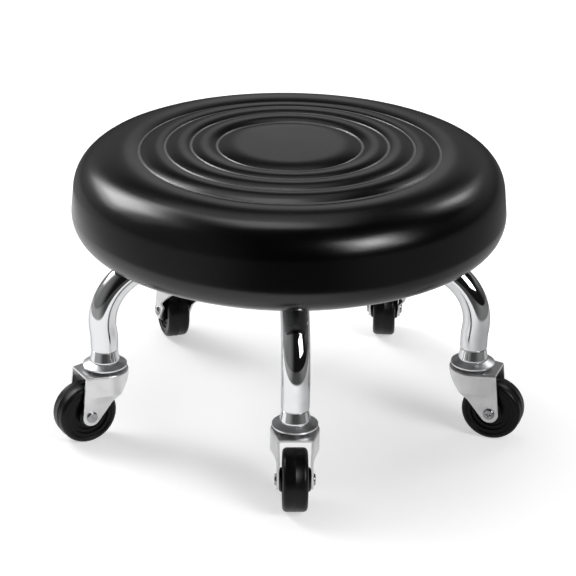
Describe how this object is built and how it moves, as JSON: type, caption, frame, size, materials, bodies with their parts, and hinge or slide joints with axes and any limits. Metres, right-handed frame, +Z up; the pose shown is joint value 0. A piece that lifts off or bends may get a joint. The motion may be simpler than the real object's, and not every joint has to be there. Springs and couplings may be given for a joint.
{
  "type": "low rolling stool",
  "caption": "Low round stool with a padded black seat, pressed rings on top, on bent chrome tube legs with swivel casters.",
  "frame": {"origin": "on the floor under the middle of the seat, at the centre of the five caster stems", "axes": "+Z up along the seat's axis, -Y along the front leg, +X to the right as seen from the front"},
  "size_m": [0.3864, 0.3779, 0.2351],
  "materials": {
    "black_vinyl": "semi-gloss grained vinyl",
    "seat_foam": "open-cell foam",
    "plywood": "raw",
    "chrome": "polished",
    "bright_nickel": "bright plated",
    "plain_steel": "zinc plated",
    "black_rubber": "matt",
    "black_plastic": "moulded"
  },
  "bodies": {
    "frame": {"seat_cover": "black_vinyl", "seat_foam": "seat_foam", "seat_board": "plywood", "base_plate": "chrome", "cover_staples": "plain_steel", "seat_tee_nuts": "plain_steel", "seat_screws": "plain_steel", "swivel_balls": "plain_steel", "leg_front": "chrome", "leg_socket_front": "chrome", "raceway_cap_front": "chrome", "caster_stem_front": "plain_steel", "leg_right": "chrome", "leg_socket_right": "chrome", "raceway_cap_right": "chrome", "caster_stem_right": "plain_steel", "leg_back_right": "chrome", "leg_socket_back_right": "chrome", "raceway_cap_back_right": "chrome", "caster_stem_back_right": "plain_steel", "leg_back_left": "chrome", "leg_socket_back_left": "chrome", "raceway_cap_back_left": "chrome", "caster_stem_back_left": "plain_steel", "leg_left": "chrome", "leg_socket_left": "chrome", "raceway_cap_left": "chrome", "caster_stem_left": "plain_steel"},
    "caster_front": {"fork_front": "bright_nickel", "axle_front": "bright_nickel", "axle_screw_front": "bright_nickel"},
    "wheel_front": {"wheel_tread_front": "black_rubber", "wheel_core_front": "black_plastic", "wheel_bush_front": "plain_steel"},
    "caster_right": {"fork_right": "bright_nickel", "axle_right": "bright_nickel", "axle_screw_right": "bright_nickel"},
    "wheel_right": {"wheel_tread_right": "black_rubber", "wheel_core_right": "black_plastic", "wheel_bush_right": "plain_steel"},
    "caster_back_right": {"fork_back_right": "bright_nickel", "axle_back_right": "bright_nickel", "axle_screw_back_right": "bright_nickel"},
    "wheel_back_right": {"wheel_tread_back_right": "black_rubber", "wheel_core_back_right": "black_plastic", "wheel_bush_back_right": "plain_steel"},
    "caster_back_left": {"fork_back_left": "bright_nickel", "axle_back_left": "bright_nickel", "axle_screw_back_left": "bright_nickel"},
    "wheel_back_left": {"wheel_tread_back_left": "black_rubber", "wheel_core_back_left": "black_plastic", "wheel_bush_back_left": "plain_steel"},
    "caster_left": {"fork_left": "bright_nickel", "axle_left": "bright_nickel", "axle_screw_left": "bright_nickel"},
    "wheel_left": {"wheel_tread_left": "black_rubber", "wheel_core_left": "black_plastic", "wheel_bush_left": "plain_steel"}
  },
  "joints": [
    {"name": "swivel_front", "type": "hinge", "parent": "frame", "child": "caster_front", "pos_m": [0, -0.158, 0.0604], "axis": [0, 0, 1], "continuous": true},
    {"name": "roll_front", "type": "hinge", "parent": "caster_front", "child": "wheel_front", "pos_m": [-0.00033, -0.1771, 0.025], "axis": [0.9998, -0.0175, 0], "continuous": true},
    {"name": "swivel_right", "type": "hinge", "parent": "frame", "child": "caster_right", "pos_m": [0.15027, -0.04883, 0.0604], "axis": [0, 0, 1], "continuous": true},
    {"name": "roll_right", "type": "hinge", "parent": "caster_right", "child": "wheel_right", "pos_m": [0.16798, -0.05598, 0.025], "axis": [0.3746, 0.9272, 0], "continuous": true},
    {"name": "swivel_back_right", "type": "hinge", "parent": "frame", "child": "caster_back_right", "pos_m": [0.09287, 0.12782, 0.0604], "axis": [0, 0, 1], "continuous": true},
    {"name": "roll_back_right", "type": "hinge", "parent": "caster_back_right", "child": "wheel_back_right", "pos_m": [0.09487, 0.14682, 0.025], "axis": [-0.9945, 0.1045, 0], "continuous": true},
    {"name": "swivel_back_left", "type": "hinge", "parent": "frame", "child": "caster_back_left", "pos_m": [-0.09287, 0.12782, 0.0604], "axis": [0, 0, 1], "continuous": true},
    {"name": "roll_back_left", "type": "hinge", "parent": "caster_back_left", "child": "wheel_back_left", "pos_m": [-0.09814, 0.14619, 0.025], "axis": [-0.9613, -0.2756, 0], "continuous": true},
    {"name": "swivel_left", "type": "hinge", "parent": "frame", "child": "caster_left", "pos_m": [-0.15027, -0.04883, 0.0604], "axis": [0, 0, 1], "continuous": true},
    {"name": "roll_left", "type": "hinge", "parent": "caster_left", "child": "wheel_left", "pos_m": [-0.16713, -0.05779, 0.025], "axis": [0.4695, -0.8829, 0], "continuous": true}
  ]
}
